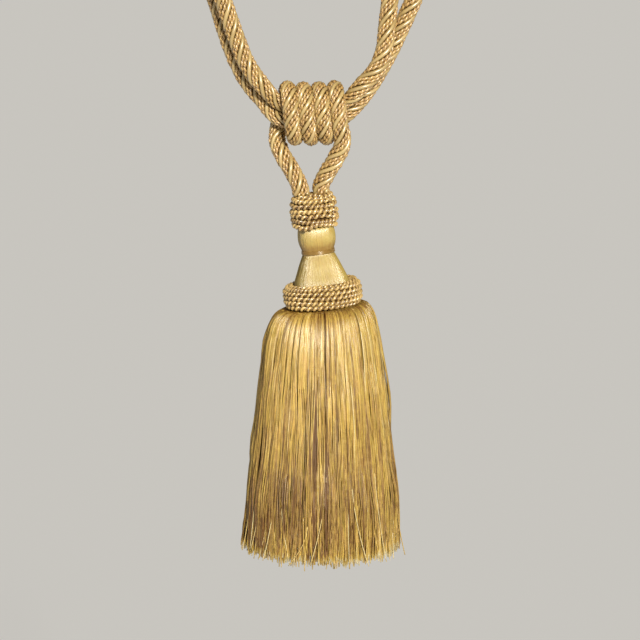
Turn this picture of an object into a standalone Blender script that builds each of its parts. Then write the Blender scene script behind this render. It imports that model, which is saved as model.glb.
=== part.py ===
"""Curtain tieback: a doubled, twisted rope with a fringed tassel hung from it by a wound knot.

The rope hangs from a hook through each of its two end loops. The origin is midway between the
crowns of those loops. +X runs from one loop to the other, +Y away from the front, +Z up.
Lengths in the tables are millimetres and everything that Blender gets is metres.
"""
import math
import random

import bmesh
import bpy
from mathutils import Vector

MM = 0.001
GAP = 0.35                      # clearance between pieces that touch

# The rope
ROPE_DIAMETER = 8.5
ROPE_STRANDS = 6
STRAND_RELIEF = 0.17            # depth of the groove between strands, as a share of the radius
ROPE_LAY = 27.0                 # length of one full turn of the strands
RINGS_PER_LAY = 9
SPAN_PARTS = 24                 # steps between two points of a route, before it is evened out
KNOT_SQUEEZE = 0.86             # the rope's width inside the knot, as a share of its free width

# The wound knot
KNOT_X = 2.8
KNOT_Z = -100.5
KNOT_TURNS = 3                  # full turns, and the last front crossing runs on as a leg
KNOT_PITCH = 7.75
KNOT_FIRST_TOP = -12.75         # first crossing over the top, from the middle of the knot
CORE_HALF = 3.95                # half the distance between the two passes inside the knot
WRAP_RADIUS = 7.9               # from a pass's middle to the middle of the rope wound round it
CORE_TILT = 0.02                # the right end of the knot sits a little higher
CORE_SAG = 0.0040               # and its middle sags under the tassel's weight

# The tassel's leaning upper part, measured down its own axis from the top of the collar
TOP_X = 2.1
TOP_Z = -140.4
LEAN = math.radians(6.0)
COLLAR_LENGTH = 18.3
HEAD_COLUMNS = 32
COLLAR_COLUMNS = 32
RUFF_COLUMNS = 48
STITCH_HEIGHT = 1.0             # how far the wound cord's plies stand out
STITCH_GROOVE = -0.5            # between two rows of the cord, as a share of that height
STITCH_PLY = 0.6                # on a ply
STITCH_DIP = -0.1               # between two plies of a row
STITCH_AXIS = 1.0               # what lies nearer the axis than this stays as it is
COLLAR_ROWS = (2, 12)           # first and last corner of the outline that the cord covers
RUFF_ROWS = (0, 10)
SPIGOT_RADIUS = 12.0
RUFF_BOTTOM = 55.0
BACKING_RADIUS = 18.2
BACKING_THICKNESS = 4.5

# The skirt
SKIRT_X = 7.2
HEM_Z = -318.0
LOCK_FILL = 0.84                # a lock's width as a share of its spacing
LOCK_MOST = 2.6                 # the thickest lock's radius, in the sparse inner rings
HEM_JITTER = 1.6
SEED = 7

COLOURS = {
    "rope": (0.62, 0.45, 0.22),
    "wound_cord": (0.52, 0.36, 0.17),
    "satin": (0.80, 0.64, 0.30),
    "tie": (0.58, 0.40, 0.17),
    "fringe": (0.60, 0.45, 0.20),
}

# Middle of the embracing rope, from inside the knot round both end loops and back: x, y, z, width
EMBRACE_ROUTE = (
    (2.2, 0.0, -104.45, KNOT_SQUEEZE),
    (-5.3, 0.0, -104.45, KNOT_SQUEEZE),
    (-9.4, 0.1, -104.2, KNOT_SQUEEZE),
    (-12.8, 0.7, -103.5, KNOT_SQUEEZE),
    (-16.0, 2.2, -102.0, 0.87),
    (-18.9, 3.9, -98.7, 0.94),
    (-22.3, 4.6, -93.9, 1.0),
    (-26.4, 4.8, -89.4, 1.0),
    (-29.6, 4.7, -85.1, 1.0),
    (-32.4, 4.6, -80.3, 1.0),
    (-34.9, 4.5, -75.2, 1.0),
    (-38.4, 4.5, -66.0, 1.0),
    (-41.7, 4.7, -56.0, 1.0),
    (-45.1, 5.6, -45.2, 1.0),
    (-52.0, 8.3, -28.4, 1.0),
    (-57.6, 10.2, -15.8, 1.0),
    (-56.8, 7.3, -7.8, 1.0),
    (-53.0, 0.0, -4.25, 1.0),
    (-49.2, -7.3, -7.8, 1.0),
    (-47.8, -10.2, -15.8, 1.0),
    (-45.2, -8.3, -28.2, 1.0),
    (-40.9, -5.4, -45.0, 1.0),
    (-36.8, -4.6, -57.5, 1.0),
    (-33.5, -4.5, -66.7, 1.0),
    (-30.2, -4.5, -74.7, 1.0),
    (-26.2, -4.5, -81.2, 1.0),
    (-22.4, -4.4, -86.0, 0.98),
    (-19.2, -3.6, -89.8, 0.92),
    (-16.1, -2.0, -93.4, 0.86),
    (-12.7, -0.5, -95.6, KNOT_SQUEEZE),
    (-8.6, 0.0, -96.3, KNOT_SQUEEZE),
    (-3.0, 0.0, -96.5, KNOT_SQUEEZE),
    (2.8, 0.0, -96.6, KNOT_SQUEEZE),
    (8.6, 0.0, -96.4, KNOT_SQUEEZE),
    (13.4, -0.1, -95.9, KNOT_SQUEEZE),
    (17.1, -0.35, -95.3, KNOT_SQUEEZE),
    (20.5, -1.85, -93.1, 0.87),
    (23.4, -3.6, -90.0, 0.96),
    (26.6, -4.5, -86.2, 1.0),
    (30.0, -4.6, -82.8, 1.0),
    (33.2, -4.6, -78.8, 1.0),
    (35.8, -4.5, -74.0, 1.0),
    (37.6, -4.3, -67.4, 1.0),
    (38.4, -3.9, -59.4, 1.0),
    (40.0, -2.5, -45.0, 1.0),
    (41.5, -1.0, -28.2, 1.0),
    (42.6, 0.0, -15.5, 1.0),
    (45.4, 0.0, -7.6, 1.0),
    (52.9, 0.0, -4.25, 1.0),
    (60.4, 0.0, -7.6, 1.0),
    (62.6, 0.0, -15.5, 1.0),
    (58.1, 1.0, -28.3, 1.0),
    (51.6, 2.6, -45.2, 1.0),
    (45.3, 4.0, -59.8, 1.0),
    (41.3, 4.6, -68.6, 1.0),
    (37.6, 4.8, -75.6, 1.0),
    (34.4, 4.9, -81.2, 1.0),
    (31.2, 4.9, -86.6, 1.0),
    (27.9, 4.8, -91.2, 1.0),
    (24.5, 5.1, -95.6, 0.97),
    (21.3, 4.7, -99.4, 0.9),
    (18.1, 3.0, -102.2, 0.86),
    (14.9, 0.9, -103.8, KNOT_SQUEEZE),
    (10.8, 0.0, -104.15, KNOT_SQUEEZE),
    (6.4, 0.0, -104.35, KNOT_SQUEEZE),
    (3.5, 0.0, -104.45, KNOT_SQUEEZE),
)

# Middle of the hanging rope: up from the collar behind the knot, and down from its front
LEFT_LEG = (
    (-3.4, 0.0, -140.6, 1.0),
    (-3.9, 0.0, -136.6, 1.0),
    (-7.3, 1.4, -129.6, 1.0),
    (-11.9, 3.4, -122.3, 1.0),
    (-14.6, 5.6, -116.6, 1.0),
    (-15.2, 7.8, -111.6, 1.0),
    (-14.2, 9.4, -105.8, 0.97),
    (-12.6, 9.5, -99.6, 0.92),
)
RIGHT_LEG = (
    (16.9, -7.5, -110.6, 0.95),
    (16.7, -6.4, -115.9, 1.0),
    (14.3, -4.6, -121.1, 1.0),
    (10.9, -2.6, -127.2, 1.0),
    (7.8, -0.9, -132.6, 1.0),
    (6.5, 0.0, -136.2, 1.0),
    (6.7, 0.0, -139.6, 1.0),
)

# Turned outlines: distance down the axis from the collar's top, radius
COLLAR_OUTLINE = (
    (0.0, 0.0),
    (0.0, 9.9),
    (0.9, 11.0),
    (2.4, 11.3),
    (4.2, 11.8),
    (6.0, 11.9),
    (7.9, 12.1),
    (9.8, 12.1),
    (11.7, 12.0),
    (13.5, 11.6),
    (15.2, 11.2),
    (16.8, 10.5),
    (COLLAR_LENGTH, 9.6),
    (COLLAR_LENGTH, 0.0),
)
HEAD_OUTLINE = (
    (COLLAR_LENGTH + GAP, 0.0),
    (COLLAR_LENGTH + GAP, 8.3),
    (19.8, 9.3),
    (22.0, 9.6),
    (24.4, 9.2),
    (26.6, 8.4),
    (28.0, 7.4),
    (30.4, 7.4),
    (31.2, 8.5),
    (37.5, 10.9),
    (44.2, 13.6),
    (44.7, 13.2),
    (44.7, SPIGOT_RADIUS),
    (RUFF_BOTTOM, SPIGOT_RADIUS),
    (RUFF_BOTTOM, 0.0),
)
TIE_OUTLINE = (
    (28.0, 8.25),
    (28.4, 8.9),
    (29.6, 9.0),
    (30.7, 8.75),
    (30.2, 7.4 + GAP),
    (28.4, 7.4 + GAP),
)
RUFF_OUTLINE = (
    (42.4, 14.3),
    (41.7, 15.6),
    (42.2, 17.2),
    (43.3, 18.6),
    (45.0, 19.3),
    (46.8, 19.7),
    (48.6, 19.7),
    (50.4, 19.7),
    (52.1, 19.5),
    (53.8, 19.0),
    (RUFF_BOTTOM, 17.8),
    (RUFF_BOTTOM, SPIGOT_RADIUS + GAP),
    (45.1, SPIGOT_RADIUS + GAP),
    (45.1, 14.3),
)
BACKING_OUTLINE = (
    (RUFF_BOTTOM + GAP, 0.0),
    (RUFF_BOTTOM + GAP, BACKING_RADIUS - 1.0),
    (RUFF_BOTTOM + GAP + 1.2, BACKING_RADIUS),
    (RUFF_BOTTOM + BACKING_THICKNESS, BACKING_RADIUS),
    (RUFF_BOTTOM + BACKING_THICKNESS + 1.0, BACKING_RADIUS - 1.5),
    (RUFF_BOTTOM + BACKING_THICKNESS + 1.0, 0.0),
)

# Each ring of the skirt's locks: how many, then stations of radius, height and how far they
# follow the ruff's tilt, from the root to the hem
LOCK_RINGS = (
    (72, ((16.8, -197.6, 1.0), (21.3, -197.2, 1.0), (24.0, -200.6, 0.6), (26.0, -205.8, 0.25),
          (28.0, -214.5, 0.0), (36.4, -284.0, 0.0), (38.4, HEM_Z, 0.0))),
    (40, ((14.6, -199.3, 1.0), (19.6, -206.5, 0.6), (25.4, -235.0, 0.0), (31.6, HEM_Z, 0.0))),
    (24, ((9.0, -199.6, 1.0), (14.5, -235.0, 0.0), (23.0, HEM_Z, 0.0))),
    (9, ((4.0, -199.8, 1.0), (6.0, -235.0, 0.0), (11.5, HEM_Z, 0.0))),
)


def clear_scene():
    for thing in list(bpy.data.objects):
        bpy.data.objects.remove(thing, do_unlink=True)


def new_collection(name):
    group = bpy.data.collections.new(name)
    bpy.context.scene.collection.children.link(group)
    return group


def thread_material(name):
    material = bpy.data.materials.new(name)
    material.use_nodes = True
    shader = material.node_tree.nodes["Principled BSDF"]
    shader.inputs["Base Color"].default_value = (*COLOURS[name], 1.0)
    shader.inputs["Roughness"].default_value = 0.6
    shader.inputs["Metallic"].default_value = 0.0
    return material


def mark_as_guide(thing):
    thing.hide_render = True
    thing.display_type = "WIRE"


def section_curve(name, radii, group):
    """A closed outline with its corners spread evenly at the given radii, in metres."""
    data = bpy.data.curves.new(name, "CURVE")
    data.dimensions = "2D"
    spline = data.splines.new("POLY")
    spline.points.add(len(radii) - 1)
    for index, radius in enumerate(radii):
        angle = -2.0 * math.pi * index / len(radii)
        spline.points[index].co = (radius * math.cos(angle), radius * math.sin(angle), 0.0, 1.0)
    spline.use_cyclic_u = True
    section = bpy.data.objects.new(name, data)
    group.objects.link(section)
    mark_as_guide(section)
    return section


def between(before, start, end, after, share):
    """A place on the smooth curve that runs from start to end, with its neighbours either side."""
    bend_in = (end - before) * 0.5
    bend_out = (after - start) * 0.5
    square = share * share
    cube = square * share
    return (start * (2.0 * cube - 3.0 * square + 1.0) + bend_in * (cube - 2.0 * square + share)
            + end * (3.0 * square - 2.0 * cube) + bend_out * (cube - square))


def smooth_route(points, step):
    """Even steps along a smooth curve through the points: x, y, z in millimetres and width."""
    ends = [Vector(point) for point in points]
    ends = [ends[0] * 2.0 - ends[1]] + ends + [ends[-1] * 2.0 - ends[-2]]
    dense = [between(*ends[span:span + 4], part / SPAN_PARTS)
             for span in range(len(ends) - 3) for part in range(SPAN_PARTS)]
    dense.append(ends[-2])
    travelled = [0.0]
    for here, there in zip(dense, dense[1:]):
        travelled.append(travelled[-1] + (there.xyz - here.xyz).length)
    count = max(2, round(travelled[-1] / step))
    route = []
    span = 0
    for index in range(count + 1):
        distance = travelled[-1] * index / count
        while span < len(dense) - 2 and travelled[span + 1] < distance:
            span += 1
        share = (distance - travelled[span]) / (travelled[span + 1] - travelled[span])
        route.append(dense[span].lerp(dense[span + 1], min(1.0, share)))
    return route


def core_height(x):
    """Height of the middle of the knot's core at x: it sags, and its right end sits higher."""
    offset = x - KNOT_X
    return KNOT_Z + CORE_TILT * offset + CORE_SAG * offset * offset


def knot_turn_points():
    """The rope wound round both passes, as a stretched helix along the core."""
    corners = ((0, 1), (45, 1), (90, 1), (90, -1), (135, -1),
               (180, -1), (225, -1), (270, -1), (270, 1), (315, 1))
    points = []
    for index in range(-1, 10 * KNOT_TURNS + 4):
        degrees, side = corners[index % 10]
        angle = math.radians(degrees)
        x = KNOT_X + KNOT_FIRST_TOP + KNOT_PITCH * index / 10
        y = -WRAP_RADIUS * math.sin(angle)
        z = core_height(x) + side * CORE_HALF + WRAP_RADIUS * math.cos(angle)
        points.append((x, y, z, KNOT_SQUEEZE))
    return points


def rope(name, points, section, material, group):
    """A twisted rope along a route: the lobed section turns once in every lay."""
    route = smooth_route(points, ROPE_LAY / RINGS_PER_LAY)
    data = bpy.data.curves.new(name, "CURVE")
    data.dimensions = "3D"
    data.bevel_mode = "OBJECT"
    data.bevel_object = section
    data.use_fill_caps = True
    spline = data.splines.new("POLY")
    spline.points.add(len(route) - 1)
    for index, place in enumerate(route):
        point = spline.points[index]
        point.co = (*(place.xyz * MM), 1.0)
        point.radius = place.w
        point.tilt = 2.0 * math.pi * index / RINGS_PER_LAY
    data.materials.append(material)
    solid = bpy.data.objects.new(name, data)
    group.objects.link(solid)
    return solid


def turned(name, outline, columns, material, group, closed=False):
    """A shape turned round its own axis, from its outline of distance down and radius."""
    places = [(radius * MM, 0.0, -down * MM) for down, radius in outline]
    edges = [(index, index + 1) for index in range(len(places) - 1)]
    if closed:
        edges.append((len(places) - 1, 0))
    data = bpy.data.meshes.new(name)
    data.from_pydata(places, edges, [])
    data.materials.append(material)
    shape = bpy.data.objects.new(name, data)
    group.objects.link(shape)
    screw = shape.modifiers.new("turn", "SCREW")
    screw.steps = columns
    screw.render_steps = columns
    screw.use_merge_vertices = True
    screw.merge_threshold = 0.00001
    screw.use_smooth_shade = True
    return shape


def made_mesh(shape):
    """The same object with its modifiers or curve turned into a welded mesh."""
    graph = bpy.context.evaluated_depsgraph_get()
    data = bpy.data.meshes.new_from_object(shape.evaluated_get(graph), depsgraph=graph)
    work = bmesh.new()
    work.from_mesh(data)
    bmesh.ops.remove_doubles(work, verts=work.verts, dist=0.000001)
    bmesh.ops.recalc_face_normals(work, faces=work.faces)
    work.to_mesh(data)
    work.free()
    solid = bpy.data.objects.new(shape.name, data)
    for group in shape.users_collection:
        group.objects.link(solid)
    solid.matrix_world = shape.matrix_world
    name = shape.name
    bpy.data.objects.remove(shape, do_unlink=True)
    solid.name = name
    return solid


def raise_stitches(shape, outline, columns, rows):
    """Lifts the plies of a wound twisted cord: each row's lumps lie between the next row's."""
    first_row, last_row = rows
    for vertex in shape.data.vertices:
        radius = math.hypot(vertex.co.x, vertex.co.y) / MM
        down = -vertex.co.z / MM
        row = min(range(len(outline)),
                  key=lambda index: math.dist(outline[index], (down, radius)))
        if row < first_row or row > last_row or radius < STITCH_AXIS:
            continue
        column = round(math.atan2(vertex.co.y, vertex.co.x) / (2.0 * math.pi) * columns)
        if (row - first_row) % 2 == 0:
            lift = STITCH_GROOVE * STITCH_HEIGHT
        elif (column + (row - first_row) // 2) % 2 == 0:
            lift = STITCH_PLY * STITCH_HEIGHT
        else:
            lift = STITCH_DIP * STITCH_HEIGHT
        vertex.co.x *= (radius + lift) / radius
        vertex.co.y *= (radius + lift) / radius


def build_ropes(materials, group, guides):
    ridge = ROPE_DIAMETER / 2.0 * MM
    groove = ridge * (1.0 - STRAND_RELIEF)
    section = section_curve("rope_section", [ridge, groove] * ROPE_STRANDS, guides)
    rope("embrace_rope", EMBRACE_ROUTE, section, materials["rope"], group)
    hanger = LEFT_LEG + tuple(knot_turn_points()) + RIGHT_LEG
    rope("hanger_rope", hanger, section, materials["rope"], group)


def build_head(materials, group):
    """The collar, head, waist tie and ruff, which lean together on one axis."""
    axis = bpy.data.objects.new("tassel_axis", None)
    group.objects.link(axis)
    axis.location = (TOP_X * MM, 0.0, TOP_Z * MM)
    axis.rotation_euler = (0.0, -LEAN, 0.0)
    collar = made_mesh(turned("collar", COLLAR_OUTLINE, COLLAR_COLUMNS,
                              materials["wound_cord"], group))
    raise_stitches(collar, COLLAR_OUTLINE, COLLAR_COLUMNS, COLLAR_ROWS)
    head = turned("head", HEAD_OUTLINE, HEAD_COLUMNS, materials["satin"], group)
    tie = turned("waist_tie", TIE_OUTLINE, HEAD_COLUMNS, materials["tie"], group, closed=True)
    ruff = made_mesh(turned("ruff", RUFF_OUTLINE, RUFF_COLUMNS,
                            materials["wound_cord"], group, closed=True))
    raise_stitches(ruff, RUFF_OUTLINE, RUFF_COLUMNS, RUFF_ROWS)
    backing = turned("skirt", BACKING_OUTLINE, HEAD_COLUMNS, materials["fringe"], group)
    for shape in (collar, head, tie, ruff, backing):
        shape.parent = axis
    return backing


def lock_places(count, number, stations, chance):
    """Stations of one lock of fringe, each a place and the lock's radius, in millimetres."""
    angle = 2.0 * math.pi * (number + 0.5) / count
    shorter = chance.uniform(-HEM_JITTER, HEM_JITTER)
    places = []
    for radius, height, follow in stations:
        tilt = math.tan(LEAN) * radius * math.cos(angle) * follow
        if height == HEM_Z:
            height += shorter
        width = math.pi * radius / count * LOCK_FILL
        place = Vector((SKIRT_X + radius * math.cos(angle), radius * math.sin(angle),
                        height + tilt))
        places.append((place, min(width, LOCK_MOST)))
    return places


def build_skirt(backing, materials, guides):
    """Three-sided locks of fringe that stand apart and join only in the backing."""
    chance = random.Random(SEED)
    section = section_curve("lock_section", [MM] * 3, guides)
    data = bpy.data.curves.new("skirt_locks", "CURVE")
    data.dimensions = "3D"
    data.bevel_mode = "OBJECT"
    data.bevel_object = section
    data.use_fill_caps = True
    data.materials.append(materials["fringe"])
    for count, stations in LOCK_RINGS:
        for number in range(count):
            places = lock_places(count, number, stations, chance)
            spline = data.splines.new("POLY")
            spline.points.add(len(places) - 1)
            for point, (place, radius) in zip(spline.points, places):
                point.co = (*(place * MM), 1.0)
                point.radius = radius
    locks = bpy.data.objects.new("skirt_locks", data)
    guides.objects.link(locks)
    locks = made_mesh(locks)
    mark_as_guide(locks)
    union = backing.modifiers.new("join_locks", "BOOLEAN")
    union.operation = "UNION"
    union.object = locks


def main():
    clear_scene()
    group = new_collection("curtain_tieback")
    guides = new_collection("guides")
    materials = {name: thread_material(name) for name in COLOURS}
    build_ropes(materials, group, guides)
    backing = build_head(materials, group)
    build_skirt(backing, materials, guides)


main()
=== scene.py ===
"""Curtain tieback: twisted ropes, wound knot and a fringed tassel, dressed thread by thread.

Every cord, winding and fringe yarn is a swept thread. Lengths are metres, in the frame of the
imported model: the origin lies between the crowns of the two end loops, +Z up, -Y to the front.
"""
import math
from collections import namedtuple

import bpy
import numpy as np
from bpy.props import FloatProperty, FloatVectorProperty, IntProperty, PointerProperty
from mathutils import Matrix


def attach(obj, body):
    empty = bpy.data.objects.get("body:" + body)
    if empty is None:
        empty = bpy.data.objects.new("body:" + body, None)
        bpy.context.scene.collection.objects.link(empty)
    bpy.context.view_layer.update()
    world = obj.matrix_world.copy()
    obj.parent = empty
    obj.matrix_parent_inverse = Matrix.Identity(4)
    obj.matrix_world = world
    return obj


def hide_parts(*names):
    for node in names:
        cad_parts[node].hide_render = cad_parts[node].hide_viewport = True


bl_info = {
    "name": "Curtain Tieback Tassel",
    "version": (1, 0, 0),
    "blender": (4, 5, 0),
    "location": "3D View > Sidebar > Tieback",
    "description": "Spins the ropes, windings and fringe of a curtain tieback",
    "category": "Object",
}

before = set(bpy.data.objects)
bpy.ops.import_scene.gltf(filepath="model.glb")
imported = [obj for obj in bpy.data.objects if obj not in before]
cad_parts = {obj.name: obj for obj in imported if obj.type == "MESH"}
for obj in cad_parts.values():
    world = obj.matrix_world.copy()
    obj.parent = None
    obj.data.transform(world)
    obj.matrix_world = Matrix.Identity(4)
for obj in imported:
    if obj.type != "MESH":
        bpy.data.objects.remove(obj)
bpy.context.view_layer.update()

BODY = "root"
MM = 0.001
TURN = 2.0 * math.pi
SPAN_PARTS = 24                 # steps between two points of a route, before it is evened out
THREAD_MAP = "threads"          # UV map: metres along a thread, and share of the way round it
TONE = "tone"                   # attribute: how light each thread took the dye, with painted light and shade added in places

# The leaning upper part of the tassel, down its own axis from the top of the collar
AXIS_TOP = (0.0021, 0.0, -0.1404)
LEAN = math.radians(6.0)

# Middle of the embracing rope, from inside the knot round both end loops: x, y, z, width
EMBRACE_ROUTE = (
    (0.0022, 0.0, -0.10445, 0.86),
    (-0.0053, 0.0, -0.10445, 0.86),
    (-0.0094, 0.0001, -0.1042, 0.86),
    (-0.0128, 0.0007, -0.1035, 0.86),
    (-0.016, 0.0022, -0.102, 0.87),
    (-0.0189, 0.0039, -0.0987, 0.94),
    (-0.0223, 0.0046, -0.0939, 1.0),
    (-0.0264, 0.0048, -0.0894, 1.0),
    (-0.0296, 0.0047, -0.0851, 1.0),
    (-0.0324, 0.0046, -0.0803, 1.0),
    (-0.0349, 0.0045, -0.0752, 1.0),
    (-0.0384, 0.0045, -0.066, 1.0),
    (-0.0417, 0.0047, -0.056, 1.0),
    (-0.0451, 0.0056, -0.0452, 1.0),
    (-0.052, 0.0083, -0.0284, 1.0),
    (-0.0576, 0.0102, -0.0158, 1.0),
    (-0.0568, 0.0073, -0.0078, 1.0),
    (-0.053, 0.0, -0.00425, 1.0),
    (-0.0492, -0.0073, -0.0078, 1.0),
    (-0.0478, -0.0102, -0.0158, 1.0),
    (-0.0452, -0.0083, -0.0282, 1.0),
    (-0.0409, -0.0054, -0.045, 1.0),
    (-0.0368, -0.0046, -0.0575, 1.0),
    (-0.0335, -0.0045, -0.0667, 1.0),
    (-0.0302, -0.0045, -0.0747, 1.0),
    (-0.0262, -0.0045, -0.0812, 1.0),
    (-0.0224, -0.0044, -0.086, 0.98),
    (-0.0192, -0.0036, -0.0898, 0.92),
    (-0.0161, -0.002, -0.0934, 0.86),
    (-0.0127, -0.0005, -0.0956, 0.86),
    (-0.0086, 0.0, -0.0963, 0.86),
    (-0.003, 0.0, -0.0965, 0.86),
    (0.0028, 0.0, -0.0966, 0.86),
    (0.0086, 0.0, -0.0964, 0.86),
    (0.0134, -0.0001, -0.0959, 0.86),
    (0.0171, -0.00035, -0.0953, 0.86),
    (0.0205, -0.00185, -0.0931, 0.87),
    (0.0234, -0.0036, -0.09, 0.96),
    (0.0266, -0.0045, -0.0862, 1.0),
    (0.03, -0.0046, -0.0828, 1.0),
    (0.0332, -0.0046, -0.0788, 1.0),
    (0.0358, -0.0045, -0.074, 1.0),
    (0.0376, -0.0043, -0.0674, 1.0),
    (0.0384, -0.0039, -0.0594, 1.0),
    (0.04, -0.0025, -0.045, 1.0),
    (0.0415, -0.001, -0.0282, 1.0),
    (0.0426, 0.0, -0.0155, 1.0),
    (0.0454, 0.0, -0.0076, 1.0),
    (0.0529, 0.0, -0.00425, 1.0),
    (0.0604, 0.0, -0.0076, 1.0),
    (0.0626, 0.0, -0.0155, 1.0),
    (0.0581, 0.001, -0.0283, 1.0),
    (0.0516, 0.0026, -0.0452, 1.0),
    (0.0453, 0.004, -0.0598, 1.0),
    (0.0413, 0.0046, -0.0686, 1.0),
    (0.0376, 0.0048, -0.0756, 1.0),
    (0.0344, 0.0049, -0.0812, 1.0),
    (0.0312, 0.0049, -0.0866, 1.0),
    (0.0279, 0.0048, -0.0912, 1.0),
    (0.0245, 0.0051, -0.0956, 0.97),
    (0.0213, 0.0047, -0.0994, 0.9),
    (0.0181, 0.003, -0.1022, 0.86),
    (0.0149, 0.0009, -0.1038, 0.86),
    (0.0108, 0.0, -0.10415, 0.86),
    (0.0064, 0.0, -0.10435, 0.86),
    (0.0035, 0.0, -0.10445, 0.86),
)

# Middle of the hanging rope: up from the collar behind the knot, and down from its front
LEFT_LEG = (
    (-0.0034, 0.0, -0.1406, 1.0),
    (-0.0039, 0.0, -0.1366, 1.0),
    (-0.0073, 0.0014, -0.1296, 1.0),
    (-0.0119, 0.0034, -0.1223, 1.0),
    (-0.0146, 0.0056, -0.1166, 1.0),
    (-0.0152, 0.0078, -0.1116, 1.0),
    (-0.0142, 0.0094, -0.1058, 1.0),
    (-0.0126, 0.0095, -0.0996, 0.97),
)
RIGHT_LEG = (
    (0.0169, -0.0075, -0.1106, 0.98),
    (0.0167, -0.0064, -0.1159, 1.0),
    (0.0143, -0.0046, -0.1211, 1.0),
    (0.0109, -0.0026, -0.1272, 1.0),
    (0.0078, -0.0009, -0.1326, 1.0),
    (0.0065, 0.0, -0.1362, 1.0),
    (0.0067, 0.0, -0.1396, 1.0),
)
# The knot: turns of the hanging rope round both passes of the other one
KNOT_MIDDLE = (0.0028, -0.1005)  # x and z
KNOT_TURNS = 3
KNOT_MORE = (1, 3)              # corners before the first turn's top, and after the last one's
KNOT_PITCH = 0.00775            # from one turn to the next
KNOT_FIRST_TOP = -0.01275       # where the first turn passes over the top, from the middle
KNOT_CORE_HALF = 0.00395        # half the distance between the two passes inside
KNOT_WRAP_RADIUS = 0.0079       # from a pass to the rope round it
KNOT_TILT = 0.02                # how fast the knot's middle rises to the right
KNOT_SAG = 4.0                  # how fast it bends up at both ends, per metre
KNOT_SQUEEZE = 0.95             # the rope's width in the knot, as a share of its free width
KNOT_TWIST = 0.80               # its lay there, as a share of the lay outside
# Corners of a turn: degrees round it, and whether it goes round the upper or the lower pass
KNOT_CORNERS = ((0, 1), (45, 1), (90, 1), (90, -1), (135, -1),
                (180, -1), (225, -1), (270, -1), (270, 1), (315, 1))

# The leaning part, in millimetres: distance down the axis, radius. Collar and ruff give the
# middle of their cord
COLLAR_OUTLINE = ((0.9, 4.2), (0.6, 6.6), (0.9, 8.6), (2.2, 9.7), (4.0, 10.1), (6.0, 10.4),
                  (8.0, 10.6), (10.0, 10.7), (12.0, 10.5), (13.8, 10.2), (15.0, 9.5))
HEAD_OUTLINE = ((15.4, 8.0), (16.8, 8.7), (18.4, 9.0), (20.6, 9.2), (23.0, 9.1), (25.2, 8.6),
                (27.0, 7.9), (28.4, 7.5), (29.6, 7.7), (30.9, 8.3), (34.5, 9.9), (38.5, 11.5),
                (42.0, 12.9), (44.4, 13.7), (46.5, 14.3))
RUFF_OUTLINE = ((45.2, 14.4), (44.3, 15.8), (44.6, 17.2), (45.8, 18.1), (47.6, 18.5),
                (49.4, 18.6), (51.2, 18.6), (52.8, 18.4), (54.0, 18.0), (54.8, 17.2))
# The body inside the ruff's cord
RUFF_CORE = ((45.4, 12.4),) + RUFF_OUTLINE[3:-1] + ((55.0, 12.4),)
TIE_OUTLINE = ((27.5, 8.0), (28.3, 8.1), (29.1, 8.2))
TIE_HEIGHT = 0.0016             # of all its turns together
TIE_TONE = 0.6

HEAD_STEP = 0.0009              # distance between the head threads' stations
SATIN_TONES = (0.5, 0.9)        # how light its threads are, from and to
HEAD_SWAY = 0.004               # how far its threads sway round it, in radians
HEAD_PROUD = 0.00003            # and stand out from it, and how far its satin lining does
# How much lighter the head is at distances down the axis: a painted highlight on the ball's upper
# half, painted shade on its foot and the waist, a little lighter on the cone and darker at its foot
HEAD_PAINTED_LIGHT_AND_SHADE = ((15.4, 18.0, 21.5, 24.0, 26.0, 28.0, 30.0, 34.0, 42.0, 46.5),
              (0.0, 0.3, 0.25, -0.15, -0.6, -0.7, 0.0, 0.1, 0.1, -0.1))

# The fringe's outside, in millimetres: radius, height, and how far it follows the leaning ruff
FRINGE_AXIS_X = 0.0072
FRINGE_PROFILE = (
    (15.6, -197.4, 1.0),
    (18.6, -196.4, 1.0),
    (21.6, -196.9, 1.0),
    (23.9, -199.2, 0.8),
    (25.6, -202.9, 0.5),
    (27.0, -208.0, 0.2),
    (28.4, -214.7, 0.0),
    (29.9, -225.0, 0.0),
    (32.3, -243.0, 0.0),
    (34.6, -266.0, 0.0),
    (36.8, -283.0, 0.0),
    (38.2, -300.0, 0.0),
    (38.9, -318.0, 0.0),
)

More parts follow.
